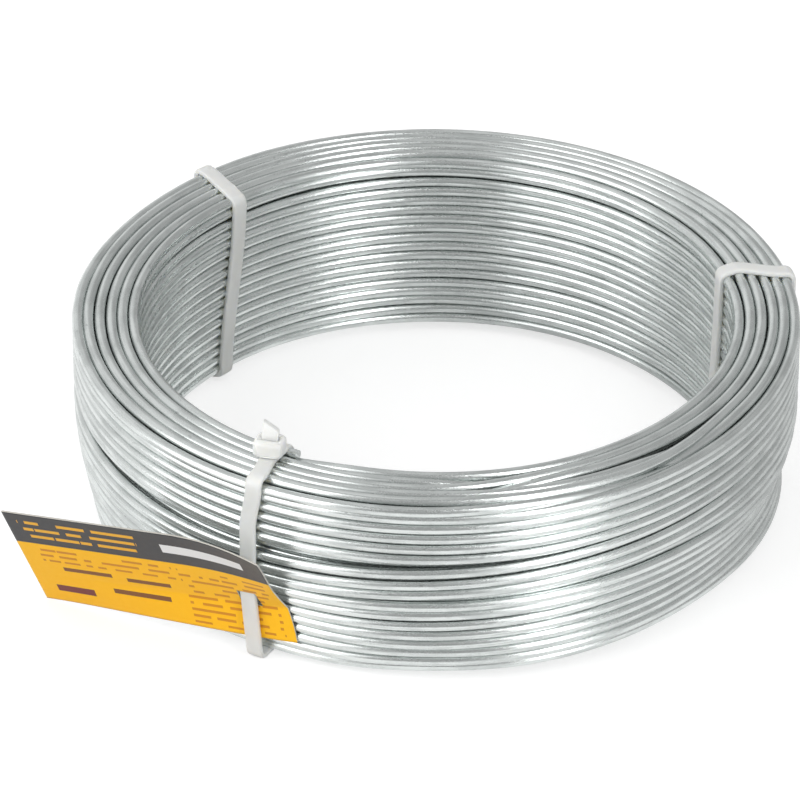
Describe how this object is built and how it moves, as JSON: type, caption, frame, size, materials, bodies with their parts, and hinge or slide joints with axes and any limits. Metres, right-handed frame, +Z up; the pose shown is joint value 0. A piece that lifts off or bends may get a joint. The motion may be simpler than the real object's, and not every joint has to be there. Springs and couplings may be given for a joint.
{
  "type": "coil of galvanized wire",
  "caption": "Coil of galvanized steel wire wound in layers round an open eye, held by nylon cable ties, with a plain printed card tag on one tie.",
  "frame": {"origin": "on the coil's axis, at the floor under the ties", "axes": "+Z up along the coil's axis; the front tie and its card are towards -X -Y, and the back tie towards -X +Y"},
  "size_m": [0.1493, 0.142, 0.0475],
  "materials": {
    "galvanized_wire": "galvanized, bright satin zinc",
    "nylon": "natural milky nylon",
    "card": "glossy printed card, amber with a dark grey band"
  },
  "bodies": {
    "root": {"wire_coil": "galvanized_wire", "tie_front": "nylon", "tie_back": "nylon", "tie_right": "nylon", "tag": "card"}
  },
  "joints": []
}
